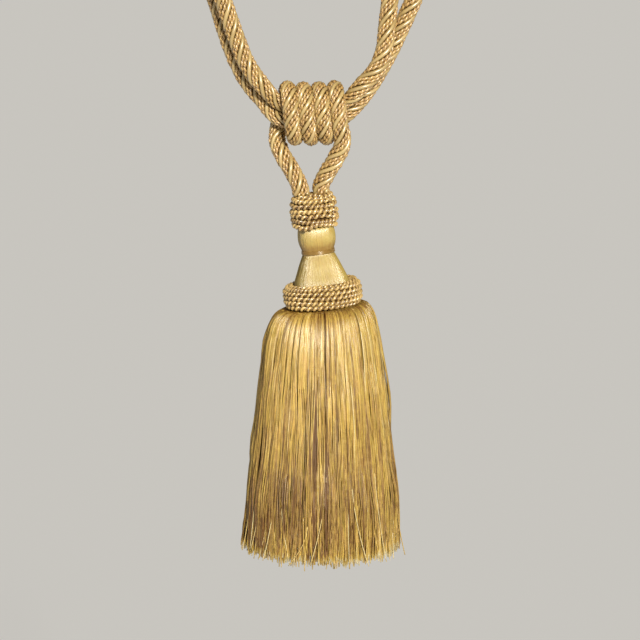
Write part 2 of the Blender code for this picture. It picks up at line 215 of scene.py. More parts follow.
# Each finish: its colour where the dye took dark, light and warm, the filaments round a thread and
# the length of their twist, how deep the grooves between them are and how dark their painted shade
# is, its roughness and gloss, and how specked it is
Finish = namedtuple("Finish", "dark light warm filaments pitch relief shade roughness gloss specks")
DYED = Finish._fields[:3]
FINISHES = {
    "gimp": Finish((0.20, 0.12, 0.025), (0.52, 0.375, 0.145), (0.50, 0.32, 0.15),
                   1.0, 0.00045, 0.04, 0.08, 0.36, 1.0, 0.2),
    "crepe_ply": Finish((0.17, 0.08, 0.014), (0.51, 0.325, 0.10), (0.48, 0.255, 0.10),
                        1.0, 0.006, 0.0, 0.04, 0.42, 1.0, 0.3),
    "winding_ply": Finish((0.13, 0.056, 0.009), (0.64, 0.44, 0.15), (0.60, 0.35, 0.14),
                          4.0, 0.0016, 0.3, 0.2, 0.32, 1.0, 0.3),
    "satin_thread": Finish((0.25, 0.13, 0.016), (0.43, 0.32, 0.08), (0.42, 0.26, 0.055),
                           1.0, 0.004, 0.0, 0.05, 0.38, 1.0, 0.2),
    "tie_thread": Finish((0.13, 0.062, 0.008), (0.30, 0.175, 0.035), (0.29, 0.15, 0.035),
                         1.0, 0.003, 0.05, 0.1, 0.3, 0.7, 0.2),
    "fringe_yarn": Finish((0.14, 0.056, 0.005), (0.55, 0.37, 0.065), (0.51, 0.27, 0.085),
                          2.0, 0.0009, 0.16, 0.22, 0.36, 0.75, 0.9),
    # The core is painted near black: the shade deep between strands, plies and rows, not a thread's
    # colour
    "core": Finish((0.05, 0.02, 0.003), (0.10, 0.046, 0.009), (0.09, 0.038, 0.007),
                   12.0, 0.002, 0.4, 0.3, 0.85, 0.15, 0.5),
}
LIGHT_SMOOTHER = 0.08           # how much smoother the lightest dye is than the darkest
PALE_FROM = 1.1                 # the tone past which a yarn takes its cut end's colour
PATCH_SCALE = 420.0             # patches in the dye, per metre
PATCH_SHARE = 0.7               # and how strong they are
NOISE_DETAIL = 3.0
SPECK_SCALE = 1700.0            # fine specks in the dye, per metre
WARM_SCALE = 800.0              # warm streaks in the dye, per metre
WARM_STRETCH = 0.1              # their scale upwards, as a share of that
WARM_CONTRAST = (3.0, -1.25)    # what the noise is multiplied by, and what is added
WARM_SHARE = 0.6                # how far a streak goes from the light to the warm colour
GROOVE_DEPTH = 0.00012          # of the grooves between filaments, where their relief is 1
GROOVE_PAINTED_SHADE = 0.45          # the painted shade in a groove, as a share of the dark colour
SILK_IOR = 1.6
SILK_TINT = (1.0, 0.98, 0.90, 1.0)
MAP_STAGGER = 0.0062            # how far the twist of each thread starts from its neighbour's
CORE_TONE = 0.5                 # of every core and lining

# The seed of each operator's random draws
SEEDS = {"ropes": 11, "collar": 23, "ruff": 31, "head": 41, "waist_tie": 43, "fringe": 53}

# Ropes
ROPE_STEP = 0.00040             # distance between a rope's stations
ROPE_PAIRS = 3                  # smooth strands in a rope, and as many crepe ones between them
THICK_SHARE = 0.68              # radius of a crepe cord's thick ply, as a share of the cord's
THIN_SHARE = 0.38               # and of its thin one
THIN_REACH = 0.85               # how far out the thin ply lies, as a share of the cord's outside
THIN_PLY_PAINTED_SHADE = 0.6               # and how much darker it is painted, as the shade between the thick plies
CREPE_TONES = (0.6, 0.95)       # how light its thick ply is, from and to
SMOOTH_TONES = (0.55, 0.8)      # and a smooth strand
CREPE_WANDER = 0.00009          # how far a crepe cord strays
CREPE_BENDS = 160               # and how many times on its way
ROPE_CORE_RADIUS = 0.0025
SMOOTH_EVERY = 2                # a smooth strand takes every second station of the rope
CORE_EVERY = 5                  # and the core, and the middle route that rope_piece hands back, every fifth

# Windings
WINDING_STEP = 0.00025          # distance between a wound cord's stations
TIE_STEP = 0.001                # and between the waist tie's
ROW_BENDS = 9                   # how many times a row strays
SPIRAL_SPREAD = 0.95            # from a wound cord's middle to its ply's, in ply radii
LIGHTER_PLY = 0.7               # tone of a wound cord's thick ply, and how much darker its thin one is painted, as shade between nubs
WOUND_THIN_SHARE = 0.5          # radius of its thin ply, as a share of the thick one's
WOUND_CORE_SHARE = 0.7          # and of its core
UNEVEN_LAY = 0.16               # how uneven its lay is along the way, as a share of the lay
UNEVEN_TONE = 0.22              # how uneven its tone is
UNEVEN_PLY = 0.07               # and its thick ply's radius, as a share of the radius
BEND_STATIONS = 30              # stations from one change to the next
OUTLINE_STEP = 0.0005           # between the places where an outline is worked out
LINING_STEP = 0.0012            # and where a lining's is
LINING_SIDES = 48
LINING_INSET = 0.0009           # from the middle of the wound cord to the lining inside, painted dark as the shade between rows
COLLAR_WANDER = 0.00046         # how far the rows stray
RUFF_WANDER = 0.00016
TIE_WANDER = 0.00005
# The collar's loose cord end: how far down it starts and runs, how high it rises over the rows,
# how deep its ends are tucked in, and the degrees round the axis where it starts and ends
TAIL_START = 0.0008
TAIL_LENGTH = 0.0112
TAIL_RISE = 0.0021
TAIL_TUCK = 0.0008
TAIL_DEGREES = (-46.0, -26.0)
TAIL_STATIONS = 60

# Fringe
TIP_SHARE = 0.975               # where a yarn's pale cut end starts
# How much lighter a yarn is at places down it: painted shade at the root under the ruff, a painted
# highlight on the shoulder, painted shade growing down the length, and the pale cut tip
TONE_PLACES = (0.0, 0.05, 0.11, 0.3, 0.6, 0.9, TIP_SHARE, 1.0)
PAINTED_LIGHT_AND_TIP_SHIFTS = (-0.35, -0.25, 0.28, 0.18, -0.06, -0.28, -0.15, 1.2)
GOLD_TONE = (0.55, 0.18)        # mean and spread of most yarns' tones
BROWN_UP_TO, BROWNER = 0.14, 0.3     # the share of yarns that are brown, and how much darker
CREAM_FROM, CREAMIER = 0.82, 0.25    # the share past which they are cream, and how much lighter
PAINTED_SHADE_SIDE = math.radians(205.0)  # the side where the skirt is painted darker as shade, the more towards the hem
PAINTED_SHADE_DEPTH = 0.3                # and by how much
# At places down a yarn, from 0 at its root to 1 at its end: how strongly it gathers in its fine
# lock and its broad one, its depth in the skirt as a share of what it is at the hem, and how
# loosely it hangs
FINE_GATHERING = ((0.0, 0.06, 0.3, 0.7), (0.0, 0.27, 0.22, 0.0))
BROAD_GATHERING = ((0.2, 0.6, 1.0), (0.0, 0.28, 0.22))
DEPTHS = ((0.0, 0.2, 1.0), (0.6, 0.8, 1.0))
LOOSENESS = ((0.0, 0.12, 1.0), (0.2, 1.0, 1.3))
STATION_PLACES = ((0.0, 0.45, 1.0), (0.0, 0.17, TIP_SHARE))  # stations are closer at the root
# How far locks, fine locks and single yarns sway round the skirt, in turns, and stand out from it,
# and how much their tones differ along the way
LOCK_SWAY, YARN_SWAY = 0.0022, 0.0030
LOCK_PROUD, FINE_PROUD, YARN_PROUD = 0.00045, 0.00020, 0.00020
LOCK_CROWN = 0.0003             # how far a lock's middle stands out past its sides
LOCK_TONE, FINE_TONE, YARN_TONE = 0.17, 0.16, 0.12
# A stray yarn: its thickness as a share of the others', and how far it sways round the skirt in
# radians, clears it at its start, stands off it at its end, and ends past the hem
STRAY_SHARE = 0.85
STRAY_STATIONS = 14
STRAY_START = (0.6, 0.95)       # how far down the skirt it comes loose, from and to
STRAY_SLANT = 0.12              # how far it slants, in radians, before the rule below
# It slants the more, the higher up it starts: where it would hang straight, and how fast the slant
# grows above that. The power makes it slant late
STRAY_STRAIGHT, STRAY_GROWTH, STRAY_POWER = 1.25, 2.0, 1.6
STRAY_TONES = (0.9, 1.7)
STRAY_SWAY = 0.010
STRAY_CLEAR = 0.0003
STRAY_AWAY = 0.0035
STRAY_PAST = (-0.002, 0.005)
# The fringe's layers by piece: yarns, stations, sides of a yarn, its thickness as a share of the
# yarn's, the layer's inmost and outmost radius as shares of the fringe's, and how much lighter
# The under layers are painted lighter, as light against the shade they lie in; the inner fill is
# darker
FRINGE_LAYERS = {
    "fringe_outer_yarns": ((640, 30, 4, 1.0, 1.0, 1.0, 0.0),),
    "fringe_under_yarns": ((540, 24, 3, 1.2, 0.988, 0.996, 0.2),
                           (500, 24, 3, 1.4, 0.962, 0.985, 0.2)),
    "fringe_inner_yarns": ((1150, 12, 4, 1.9, 0.05, 0.95, -0.15),),
}

# Stage
LIT_PLACE = (0.0, 0.0, -0.18)   # where the lights are aimed
# Each light: kind, place, energy, colour, and width in metres, or in degrees for the sun
LIGHTS = {
    "key": ("SUN", (0.24, -1.0, 0.21), 5.5, (1.0, 0.98, 0.93), 9.0),
    "fill": ("AREA", (-0.7, -0.8, 0.1), 1.0, (1.0, 0.98, 0.94), 0.7),
    "back": ("AREA", (0.3, 1.1, 0.1), 15.0, (1.0, 0.98, 0.94), 0.9),
}
ROOM_COLOUR = (1.0, 0.99, 0.97, 1.0)
ROOM_STRENGTH = 0.12
SENSOR_WIDTH = 36.0             # in millimetres
SIGHT = 300.0                   # how far the camera sees
FLOOR_SIZE = 160.0

Bundle = namedtuple("Bundle", "paths radii sides tones finish")

made_materials = {}             # by finish, so that the frame's own materials are never taken


# Paths and threads

def smooth_route(points, step):
    """Even steps of about the given length along a smooth curve through the points."""
    ends = np.array(points, dtype=float)
    ends = np.vstack([2 * ends[0] - ends[1], ends, 2 * ends[-1] - ends[-2]])
    before, start, end, after = (ends[first:len(ends) - 3 + first, None] for first in range(4))
    share = (np.arange(SPAN_PARTS) / SPAN_PARTS)[None, :, None]
    square, cube = share ** 2, share ** 3
    dense = (start * (2 * cube - 3 * square + 1) + (end - before) / 2 * (cube - 2 * square + share)
             + end * (3 * square - 2 * cube) + (after - start) / 2 * (cube - square))
    dense = np.vstack([dense.reshape(-1, ends.shape[1]), ends[-2]])
    travelled = np.append(0.0, np.cumsum(np.linalg.norm(np.diff(dense[:, :3], axis=0), axis=1)))
    count = max(2, round(travelled[-1] / step))
    even = np.linspace(0.0, travelled[-1], count + 1)
    return np.column_stack([np.interp(even, travelled, column) for column in dense.T])


def unit(vectors):
    """Vectors of length 1 along the given ones."""
    return vectors / np.maximum(np.linalg.norm(vectors, axis=-1, keepdims=True), 1e-12)


def frames_along(paths):
    """Directions along each path, and two across it that turn as little as they can."""
    along = unit(np.gradient(paths, axis=1))
    upright = np.abs(along[:, :1, 2:]) < 0.9
    first = np.cross(along[:, :1], np.where(upright, (0.0, 0.0, 1.0), (1.0, 0.0, 0.0)))
    side = np.empty_like(paths)
    side[:, 0] = unit(first)[:, 0]
    for station in range(1, paths.shape[1]):
        here = along[:, station]
        carried = side[:, station - 1]
        carried = carried - here * np.sum(carried * here, axis=-1, keepdims=True)
        side[:, station] = unit(carried)
    return along, side, np.cross(along, side)


def distance_along(paths, lay=1.0):
    """Distance up to each station, in lays. A lay is a length, and may change on the way."""
    steps = np.linalg.norm(np.diff(paths, axis=1), axis=2)
    steps = steps / np.broadcast_to(lay, paths.shape[1])[1:]
    return np.concatenate([np.zeros((len(paths), 1)), np.cumsum(steps, axis=1)], axis=1)


def plied(paths, plies, offset, lay, phase=0.0, width=1.0):
    """Plies that wind round each path, once in every lay. A negative lay winds left-handed."""
    _, side, across = frames_along(paths)
    turns = distance_along(paths, lay)
    made = []
    for ply in range(plies):
        angle = TURN * (turns + ply / plies) + phase
        ring = side * np.cos(angle)[..., None] + across * np.sin(angle)[..., None]
        made.append(paths + ring * (offset * np.broadcast_to(width, turns.shape))[..., None])
    return np.concatenate(made)


def drift(chance, threads, course, size, bends):
    """A slow random wander for each thread, of about the given size and number of bends.

    The course is a number of even stations, or each station's share of the way.
    """
    if np.ndim(course) == 0:
        course = np.linspace(0.0, 1.0, course)
    knots = chance.normal(0.0, size, (threads, bends + 2))
    places = np.asarray(course) * (bends + 1)
    before = np.minimum(places.astype(int), bends)
    share = places - before
    share = share * share * (3.0 - 2.0 * share)
    return knots[:, before] * (1.0 - share) + knots[:, before + 1] * share


def leaning(places):
    """Moves places from the tassel's own axis, where z runs up it, to where it leans."""
    x, y, z = np.moveaxis(np.asarray(places), -1, 0)
    return np.stack([AXIS_TOP[0] + x * math.cos(LEAN) - z * math.sin(LEAN),
                     AXIS_TOP[1] + y,
                     AXIS_TOP[2] + x * math.sin(LEAN) + z * math.cos(LEAN)], axis=-1)


def outline_curve(outline, step):
    """An outline in millimetres as even places of radius and distance down, in metres."""
    rows = [(radius * MM, 0.0, -down * MM) for down, radius in outline]
    route = smooth_route(rows, step)
    return route[:, 0], -route[:, 2]


# Meshes

def thread_faces(threads, stations, sides):
    """Corner numbers of the walls and the two end caps of swept threads."""
    corner = np.arange(threads * stations * sides).reshape(threads, stations, sides)
    following = np.roll(corner, -1, axis=2)
    walls = np.stack([corner[:, :-1], following[:, :-1], following[:, 1:], corner[:, 1:]], axis=-1)
    caps = np.concatenate([corner[:, 0, ::-1], corner[:, -1]])
    return walls.reshape(-1, 4), caps


def thread_map(paths, sides):
    """UV corners to match thread_faces, with no two neighbours' twists in step."""
    length = distance_along(paths) + MAP_STAGGER * np.arange(len(paths))[:, None]
    near = np.broadcast_to(length[:, :-1, None], (*length[:, 1:].shape, sides))
    far = np.broadcast_to(length[:, 1:, None], near.shape)
    left = np.broadcast_to(np.arange(sides) / sides, near.shape)
    right = left + 1.0 / sides
    walls = np.stack([near, left, near, right, far, right, far, left], axis=-1)
    caps = np.stack(np.broadcast_arrays(length[:, [0, -1], None],
                                        np.arange(sides) / sides), axis=-1)
    return np.concatenate([walls.reshape(-1, 2), caps.transpose(1, 0, 2, 3).reshape(-1, 2)])


def spun_mesh(name, bundles):
    """One object of many swept threads, with a map along them and a tone on each: dye, with painted
    light and shade in places.
    """
    places, faces, maps, tones, finishes = [], [], [], [], []
    used = list(dict.fromkeys(bundle.finish for bundle in bundles))
    base = 0
    for paths, radii, sides, tone, finish in bundles:
        threads, stations = paths.shape[:2]
        _, side, across = frames_along(paths)
        angle = TURN * np.arange(sides) / sides
        ring = (side[:, :, None] * np.cos(angle)[:, None]
                + across[:, :, None] * np.sin(angle)[:, None])
        radius = np.broadcast_to(radii, (threads, stations))[:, :, None, None]
        places.append((paths[:, :, None] + ring * radius).reshape(-1, 3))
        walls, caps = thread_faces(threads, stations, sides)
        faces += (walls + base).tolist() + (caps + base).tolist()
        maps.append(thread_map(paths, sides))
        shades = np.broadcast_to(np.reshape(tone, (threads, -1)), (threads, stations))
        tones.append(np.repeat(shades.ravel(), sides))
        finishes.append(np.full(len(walls) + len(caps), used.index(finish)))
        base += threads * stations * sides
    data = bpy.data.meshes.new(name)
    data.from_pydata(np.concatenate(places), [], faces)
    data.uv_layers.new(name=THREAD_MAP)
    data.uv_layers[THREAD_MAP].uv.foreach_set("vector", np.concatenate(maps).ravel())
    data.attributes.new(TONE, "FLOAT", "POINT")
    data.attributes[TONE].data.foreach_set("value", np.concatenate(tones).astype(np.float32))
    data.polygons.foreach_set("material_index", np.concatenate(finishes).astype(np.int32))
    data.shade_smooth()
    for finish in used:
        data.materials.append(thread_material(finish))
    piece = bpy.data.objects.new(name, data)
    bpy.context.scene.collection.objects.link(piece)
    return piece


def dress(piece, slot, *nodes):
    """Fixes a finished piece to the frame, in place of its plain solids."""
    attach(piece, BODY)
    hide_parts(*nodes)


# Materials

def new_node(tree, kind, **values):
    """A node of the given kind, with its values set."""
    node = tree.nodes.new(kind)
    for key, value in values.items():
        setattr(node, key, value)
    return node


def feed(tree, socket, value):
    """Links a socket to another one, or sets it to a plain value."""
    if isinstance(value, bpy.types.NodeSocket):
        tree.links.new(value, socket)
    else:
        socket.default_value = value


def arithmetic(tree, operation, *values):
    """The result of a Math node on sockets or plain numbers."""
    node = new_node(tree, "ShaderNodeMath", operation=operation)
    for socket, value in zip(node.inputs, values):
        feed(tree, socket, value)
    return node.outputs[0]


def feed_all(tree, node, values):
    """Feeds several of a node's inputs, by name."""
    for label, value in values.items():
        feed(tree, node.inputs[label], value)


def new_group(name, inputs, outputs):
    """An empty shader group that takes and gives numbers."""
    tree = bpy.data.node_groups.new(name, "ShaderNodeTree")
    for labels, way in ((inputs, "INPUT"), (outputs, "OUTPUT")):
        for label in labels:
            tree.interface.new_socket(label, in_out=way, socket_type="NodeSocketFloat")
    return tree, tree.nodes.new("NodeGroupInput"), tree.nodes.new("NodeGroupOutput")


def filament_group():
    """Fine filaments twisted round a thread: relief 0 in the grooves, 1 on the filaments."""
    name = "Twisted filaments"
    if name in bpy.data.node_groups:
        return bpy.data.node_groups[name]
    tree, given, result = new_group(name, ("Filaments", "Pitch"), ("Relief",))
    thread = new_node(tree, "ShaderNodeUVMap", uv_map=THREAD_MAP)
    parts = new_node(tree, "ShaderNodeSeparateXYZ")
    tree.links.new(thread.outputs["UV"], parts.inputs[0])
    along = arithmetic(tree, "DIVIDE", parts.outputs[0], given.outputs["Pitch"])
    around = arithmetic(tree, "MULTIPLY", parts.outputs[1], given.outputs["Filaments"])
    wave = arithmetic(tree, "SINE", arithmetic(tree, "MULTIPLY",
                                               arithmetic(tree, "ADD", along, around), TURN))
    half = arithmetic(tree, "MULTIPLY_ADD", wave, 0.5, 0.5)
    tree.links.new(half, result.inputs["Relief"])
    return tree


def dye_group():
    """Where the dye took light, warm or hardly at all, by thread, patches and specks. The threads'
    tones also carry painted light and shade.
    """
    name = "Uneven dye"
    if name in bpy.data.node_groups:
        return bpy.data.node_groups[name]
    tree, given, result = new_group(name, ("Patch Scale", "Patch Share", "Speck Share"),
                                    ("Lightness", "Warmth", "Paleness"))
    tone = new_node(tree, "ShaderNodeAttribute", attribute_name=TONE)
    place = new_node(tree, "ShaderNodeTexCoord")
    patch = noise_at(tree, place.outputs["Object"], given.outputs["Patch Scale"])
    patch = tone_shift(tree, patch, given.outputs["Patch Share"])
    speck = noise_at(tree, place.outputs["Object"], SPECK_SCALE)
    speck = tone_shift(tree, speck, given.outputs["Speck Share"])
    total = arithmetic(tree, "ADD", tone.outputs["Fac"], arithmetic(tree, "ADD", patch, speck))
    light = arithmetic(tree, "MAXIMUM", arithmetic(tree, "MINIMUM", total, 1.0), 0.0)
    tree.links.new(light, result.inputs["Lightness"])
    pale = arithmetic(tree, "SUBTRACT", total, PALE_FROM)
    pale.node.use_clamp = True
    tree.links.new(pale, result.inputs["Paleness"])
    streak = new_node(tree, "ShaderNodeMapping")
    feed_all(tree, streak, {"Scale": (1.0, 1.0, WARM_STRETCH), "Vector": place.outputs["Object"]})
    warmth = noise_at(tree, streak.outputs["Vector"], WARM_SCALE)
    warmth = arithmetic(tree, "MULTIPLY_ADD", warmth, *WARM_CONTRAST)
    warmth.node.use_clamp = True
    tree.links.new(warmth, result.inputs["Warmth"])
    return tree


def tone_shift(tree, noise, share):
    """Noise as a shift of the tone, as much down as up, of the given strength."""
    return arithmetic(tree, "MULTIPLY", arithmetic(tree, "SUBTRACT", noise, 0.5), share)


def noise_at(tree, place, scale):
    """Soft noise from 0 to 1 at a place, its scale a socket or a number."""
    noise = new_node(tree, "ShaderNodeTexNoise")
    feed_all(tree, noise, {"Detail": NOISE_DETAIL, "Vector": place, "Scale": scale})
    return noise.outputs["Fac"]


def colour_mix(tree, share, dark, light):
    """A colour between two, each a socket or a plain colour."""
    node = new_node(tree, "ShaderNodeMix", data_type="RGBA")
    tree.links.new(share, node.inputs["Factor"])
    for label, value in (("A", dark), ("B", light)):
        feed(tree, next(s for s in node.inputs if s.name == label and s.type == "RGBA"), value)
    return next(s for s in node.outputs if s.type == "RGBA")


def thread_material(finish):
    """Spun thread: uneven dye, painted shade in the grooves between filaments, and a silky gloss.
    """
    if finish in made_materials:
        return made_materials[finish]
    facts = FINISHES[finish]
    dyes = bpy.context.scene.tieback_dye
    dark, light, warm = ((*getattr(dyes, f"{finish}_{took}"), 1.0) for took in DYED)
    material = bpy.data.materials.new(finish)
    made_materials[finish] = material
    material.use_nodes = True
    tree = material.node_tree
    shader = tree.nodes["Principled BSDF"]
    filaments = new_node(tree, "ShaderNodeGroup", node_tree=filament_group())
    feed_all(tree, filaments, {"Filaments": facts.filaments, "Pitch": facts.pitch})
    dye = new_node(tree, "ShaderNodeGroup", node_tree=dye_group())
    feed_all(tree, dye, {"Patch Scale": PATCH_SCALE, "Patch Share": PATCH_SHARE,
                         "Speck Share": facts.specks})
    warmth = arithmetic(tree, "MULTIPLY", dye.outputs["Warmth"], WARM_SHARE)
    lightest = colour_mix(tree, warmth, light, warm)
    lightest = colour_mix(tree, dye.outputs["Paleness"], lightest, (*dyes.cut_end, 1.0))
    colour = colour_mix(tree, dye.outputs["Lightness"], dark, lightest)
    # Painted shade in the grooves between filaments
    groove = arithmetic(tree, "MULTIPLY_ADD", filaments.outputs["Relief"],
                        -facts.shade, facts.shade)
    shadow = (*(GROOVE_PAINTED_SHADE * value for value in dark[:3]), 1.0)
    colour = colour_mix(tree, groove, colour, shadow)
    rough = arithmetic(tree, "MULTIPLY_ADD", dye.outputs["Lightness"], -LIGHT_SMOOTHER,
                       facts.roughness + LIGHT_SMOOTHER / 2.0)
    bump = new_node(tree, "ShaderNodeBump")
    feed_all(tree, bump, {"Strength": facts.relief, "Distance": GROOVE_DEPTH,
                          "Height": filaments.outputs["Relief"]})
    feed_all(tree, shader, {"Base Color": colour, "Roughness": rough, "IOR": SILK_IOR,
                            "Normal": bump.outputs["Normal"], "Specular Tint": SILK_TINT,
                            "Specular IOR Level": facts.gloss})
    return material


def floor_material(colour):
    """Matt pale paper."""
    material = bpy.data.materials.new("pale_floor")
    material.use_nodes = True
    tree = material.node_tree
    feed_all(tree, tree.nodes["Principled BSDF"],
             {"Base Color": (*colour, 1.0), "Roughness": 0.9, "Specular IOR Level": 0.0})
    return material


# Settings

def length(name, description, default):
    """A length that a user can change."""
    return FloatProperty(name=name, description=description, default=default, unit="LENGTH",
                         precision=5)


def colour(name, description, default):
    """A colour that a user can change."""
    return FloatVectorProperty(name=name, description=description, default=default,
                               subtype="COLOR", min=0.0, max=1.0)


def dyed(finish, took):
    """The colour of one finish where the dye took dark, light or warm."""
    return colour(f"{finish.replace('_', ' ').capitalize()}, {took}",
                  f"Its colour where the dye took {took}", getattr(FINISHES[finish], took))


class DyeSettings(bpy.types.PropertyGroup):
    """The colours of the threads: dark, light and warm for each finish, and the cut ends. The
    core's colours are painted shade
    """
    cut_end: colour("Cut end", "Colour of a yarn's cut or frayed end", (0.80, 0.68, 0.38))


DyeSettings.__annotations__.update((f"{finish}_{took}", dyed(finish, took))
                                   for finish in FINISHES for took in DYED)


class RopeSettings(bpy.types.PropertyGroup):
    """The two twisted ropes"""
    diameter: length("Diameter", "Width over the strands", 0.0087)
    embrace_lay: length("Embracing rope's lay", "Length of one turn of its strands", 0.0290)
    hanger_lay: length("Hanging rope's lay", "Length of one turn of its strands", 0.0275)
    smooth_radius: length("Smooth strand", "Radius of a smooth strand", 0.00108)
    cord_radius: length("Crepe cord", "Radius of one of the two cords in a crepe strand", 0.00096)
    cord_lay: length("Crepe cord's lay", "Length of one turn of its plies", 0.0030)


class WindingSettings(bpy.types.PropertyGroup):
    """The fine cord wound on as collar and ruff: a thick pale ply, and a thin one painted brown as
    the shade between its nubs
    """
    collar_pitch: length("Collar row", "Distance between rows", 0.0025)
    collar_ply: length("Collar ply", "Radius of the thick ply", 0.00072)
    collar_lay: length("Collar lay", "Length of one turn of the plies", 0.0029)
    ruff_pitch: length("Ruff row", "Distance between rows", 0.00235)
    ruff_ply: length("Ruff ply", "Radius of the thick ply", 0.00068)
    ruff_lay: length("Ruff lay", "Length of one turn of the plies", 0.0029)


class HeadSettings(bpy.types.PropertyGroup):
    """The satin threads over ball and cone, and the thread that ties the waist"""
    threads: IntProperty(name="Threads", description="Threads side by side", default=320)
    thread_radius: length("Thread", "Radius of a thread", 0.00019)
    tie_turns: IntProperty(name="Tie turns", description="Turns round the waist", default=5)
    tie_radius: length("Tie thread", "Radius of the tie's thread", 0.00026)


class FringeSettings(bpy.types.PropertyGroup):
    """The skirt of loose yarns"""
    yarn_radius: length("Yarn", "Radius of a yarn", 0.00025)
    fine_locks: IntProperty(name="Fine locks", description="Locks at the shoulder", default=64)
    locks: IntProperty(name="Locks", description="Broader locks lower down", default=36)
    strays: IntProperty(name="Strays", description="Yarns that have come loose", default=44)
    uneven_hem: length("Uneven hem", "Spread of the cut ends", 0.0013)


class StageSettings(bpy.types.PropertyGroup):
    """Camera and floor"""
    target: FloatVectorProperty(name="Camera target", default=(0.006, 0.0, -0.2035),
                                description="Where the camera looks", subtype="TRANSLATION")
    distance: length("Camera distance", "From camera to target", 1.1)
    elevation: FloatProperty(name="Camera height", description="Angle above the level",
                             default=math.radians(10.0), subtype="ANGLE")
    lens: FloatProperty(name="Lens", description="Focal length", default=123.75, unit="CAMERA")
    floor_height: length("Floor", "Height of the floor", -2.0)
    floor_colour: colour("Floor colour", "Colour of the floor", (0.78, 0.77, 0.75))
    wall_colour: colour("Wall colour", "What is seen past the floor", (0.578, 0.565, 0.521))


# Ropes

def knot_turn_points():
    """The hanging rope's turns round both passes of the other rope."""
    corners = len(KNOT_CORNERS)
    points = []
    for index in range(-KNOT_MORE[0], corners * KNOT_TURNS + KNOT_MORE[1] + 1):
        degrees, half = KNOT_CORNERS[index % corners]
        angle = math.radians(degrees)
        offset = KNOT_FIRST_TOP + KNOT_PITCH * index / corners
        height = KNOT_MIDDLE[1] + KNOT_TILT * offset + KNOT_SAG * offset * offset
        points.append((KNOT_MIDDLE[0] + offset, -KNOT_WRAP_RADIUS * math.sin(angle),
                       height + half * KNOT_CORE_HALF + KNOT_WRAP_RADIUS * math.cos(angle),
                       KNOT_SQUEEZE, KNOT_TWIST))
    return tuple(points)


def crepe_cords(centre, settings, lay, width):
    """Middles of the two cords of each crepe strand, side by side on the rope's outside."""
    outward = settings.diameter / 2.0 - settings.cord_radius
    made = []
    for sideways in (-settings.cord_radius, settings.cord_radius):
        turn = math.pi / ROPE_PAIRS + math.atan2(sideways, outward)
        made.append(plied(centre, ROPE_PAIRS, math.hypot(outward, sideways), lay, turn, width))
    return np.concatenate(made)


def rope_piece(name, points, lay, chance):
    """Smooth strands laid up with crepe ones, whose cords twist the other way, and its middle."""
    settings = bpy.context.scene.tieback_rope
    route = smooth_route(points, ROPE_STEP)
    centre, width = route[None, :, :3], route[:, 3]
    lay = lay * route[:, 4]
    smooth = plied(centre, ROPE_PAIRS, settings.diameter / 2.0 - settings.smooth_radius, lay,
                   width=width)
    cords = crepe_cords(centre, settings, lay, width)
    cords += drift(chance, 3 * len(cords), cords.shape[1], CREPE_WANDER, CREPE_BENDS).reshape(
        len(cords), 3, -1).transpose(0, 2, 1)
    thick = settings.cord_radius * THICK_SHARE
    thin = settings.cord_radius * THIN_SHARE
    plies = plied(cords, 1, settings.cord_radius - thick, -settings.cord_lay, width=width)
    between = plied(cords, 1, (settings.cord_radius - thin) * THIN_REACH, -settings.cord_lay,
                    math.pi, width)
    tones = chance.uniform(*CREPE_TONES, len(plies))
    bundles = [
        Bundle(smooth[:, ::SMOOTH_EVERY], settings.smooth_radius * width[::SMOOTH_EVERY], 8,
               chance.uniform(*SMOOTH_TONES, ROPE_PAIRS), "gimp"),
        Bundle(plies, thick * width, 6, tones, "crepe_ply"),
        # The thin ply, painted darker as the shade in the gaps between the thick plies
        Bundle(between, thin * width, 4, tones - THIN_PLY_PAINTED_SHADE, "crepe_ply"),
        # The rope's core, painted near black as the shade between its strands
        Bundle(centre[:, ::CORE_EVERY], ROPE_CORE_RADIUS * width[::CORE_EVERY], 8, CORE_TONE,
               "core"),
    ]
    return spun_mesh(name, bundles), [place.tolist() for place in centre[0, ::CORE_EVERY]]


def with_twist(points, twist=1.0):
    """The same places and widths, with the share of the usual lay at each."""
    return tuple((*point, twist) for point in points)


class TIEBACK_OT_ropes(bpy.types.Operator):
    """Lays up the embracing rope and the hanging rope with its knot"""
    bl_idname = "tieback.ropes"
    bl_label = "Ropes"

    def execute(self, context):
        settings = context.scene.tieback_rope
        chance = np.random.default_rng(SEEDS["ropes"])
        embrace, path = rope_piece("embrace_rope_strands", with_twist(EMBRACE_ROUTE),
                                   settings.embrace_lay, chance)
        dress(embrace, "rope", "embrace_rope")
        hanger_route = with_twist(LEFT_LEG) + knot_turn_points() + with_twist(RIGHT_LEG)
        hanger, path = rope_piece("hanger_rope_strands", hanger_route, settings.hanger_lay, chance)
        dress(hanger, "rope", "hanger_rope")
        return {"FINISHED"}


# Wound collar and ruff

def winding_path(outline, pitch, chance, wander, step=WINDING_STEP):
    """A cord wound round the leaning axis, row by row down an outline, with some wander."""
    radius, down = outline_curve(outline, pitch)
    rows = len(radius) - 1
    count = int(rows * TURN * radius.mean() / step)
    place = np.linspace(0.0, rows, count)
    angle = TURN * place
    spread = drift(chance, 2, count, wander, rows * ROW_BENDS)
    around = np.interp(place, np.arange(rows + 1), radius) + np.abs(spread[0])
    below = np.interp(place, np.arange(rows + 1), down) + spread[1]
    return leaning(np.column_stack([around * np.cos(angle), around * np.sin(angle), -below]))


